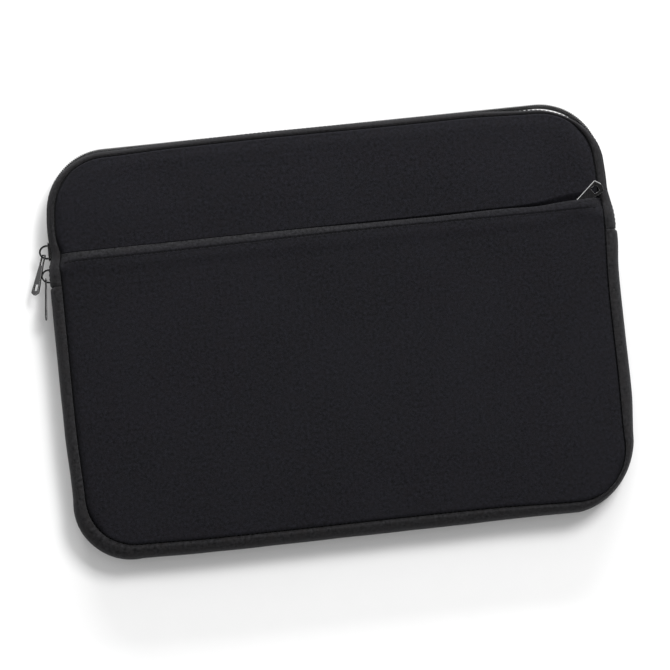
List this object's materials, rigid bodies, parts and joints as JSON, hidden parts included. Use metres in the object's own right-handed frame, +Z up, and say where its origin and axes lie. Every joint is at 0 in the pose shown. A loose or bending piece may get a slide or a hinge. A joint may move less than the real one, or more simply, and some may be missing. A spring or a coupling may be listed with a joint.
{
  "type": "laptop sleeve",
  "caption": "Padded neoprene laptop sleeve with a wrap-round zipped mouth, a padded compartment and a zipped front pocket.",
  "frame": {"origin": "centre of the flat back face that the sleeve rests on", "axes": "+X along the long side, +Y towards the zipped edge, +Z up out of the front"},
  "size_m": [0.3958, 0.2803, 0.0255],
  "materials": {
    "neoprene_jersey": "matt knitted jersey face on neoprene foam",
    "plush_lining": "short brushed pile",
    "zip_tape": "woven polyester tape",
    "nylon_coil": "satin nylon",
    "gunmetal": "polished black nickel"
  },
  "bodies": {
    "shell": {"back_panel": "neoprene_jersey", "front_panel": "neoprene_jersey", "pocket_panel": "neoprene_jersey", "lower_gusset": "neoprene_jersey", "rear_zip_gusset": "neoprene_jersey", "front_zip_gusset_left": "neoprene_jersey", "front_zip_gusset_right": "neoprene_jersey", "back_lining": "plush_lining", "front_lining": "plush_lining", "rear_zip_tape": "zip_tape", "front_zip_tape_left": "zip_tape", "front_zip_tape_right": "zip_tape", "back_seam_binding": "zip_tape", "front_seam_binding": "zip_tape", "pocket_zip_lower_tape": "zip_tape", "pocket_zip_upper_tape": "zip_tape", "rear_zip_coil": "nylon_coil", "front_zip_coil_left": "nylon_coil", "front_zip_coil_right": "nylon_coil", "pocket_zip_lower_coil": "nylon_coil", "pocket_zip_upper_coil": "nylon_coil", "zip_end_stop_left": "gunmetal", "zip_end_stop_right": "gunmetal", "pocket_zip_lower_top_stop": "gunmetal", "pocket_zip_upper_top_stop": "gunmetal", "pocket_zip_bottom_stop": "gunmetal"},
    "mouth_flap": {"front_panel_flap": "neoprene_jersey", "front_zip_gusset_flap": "neoprene_jersey", "front_lining_flap": "plush_lining", "front_zip_tape_flap": "zip_tape", "front_seam_binding_flap": "zip_tape", "front_zip_coil_flap": "nylon_coil"},
    "upper_slider": {"upper_slider_body": "gunmetal"},
    "upper_tab": {"upper_pull_tab": "gunmetal"},
    "lower_slider": {"lower_slider_body": "gunmetal"},
    "lower_tab": {"lower_pull_tab": "gunmetal"},
    "pocket_slider": {"pocket_slider_body": "gunmetal"},
    "pocket_tab": {"pocket_pull_tab": "gunmetal"}
  },
  "joints": [
    {"name": "mouth_fold", "type": "hinge", "parent": "shell", "child": "mouth_flap", "pos_m": [0, 0.094, 0.0202], "axis": [1, 0, 0], "range_deg": [0, 55]},
    {"name": "upper_slider_slide", "type": "slide", "parent": "shell", "child": "upper_slider", "axis": [0, 1, 0], "range_m": [0, 0.015]},
    {"name": "upper_tab_swing", "type": "hinge", "parent": "upper_slider", "child": "upper_tab", "pos_m": [-0.1944, 0.0704, 0.0109], "axis": [0, 0, -1], "range_deg": [0, 140]},
    {"name": "lower_slider_slide", "type": "slide", "parent": "shell", "child": "lower_slider", "axis": [0, 1, 0], "range_m": [0, 0.0015]},
    {"name": "lower_tab_swing", "type": "hinge", "parent": "lower_slider", "child": "lower_tab", "pos_m": [-0.1944, 0.0539, 0.0109], "axis": [0, 0, -1], "range_deg": [-8, 4]},
    {"name": "pocket_slider_slide", "type": "slide", "parent": "shell", "child": "pocket_slider", "axis": [-1, 0, 0], "range_m": [0, 0.3315]},
    {"name": "pocket_tab_flip", "type": "hinge", "parent": "pocket_slider", "child": "pocket_tab", "pos_m": [0.1654, 0.0638, 0.02125], "axis": [0.5592, -0.829, 0], "range_deg": [0, 4]}
  ]
}
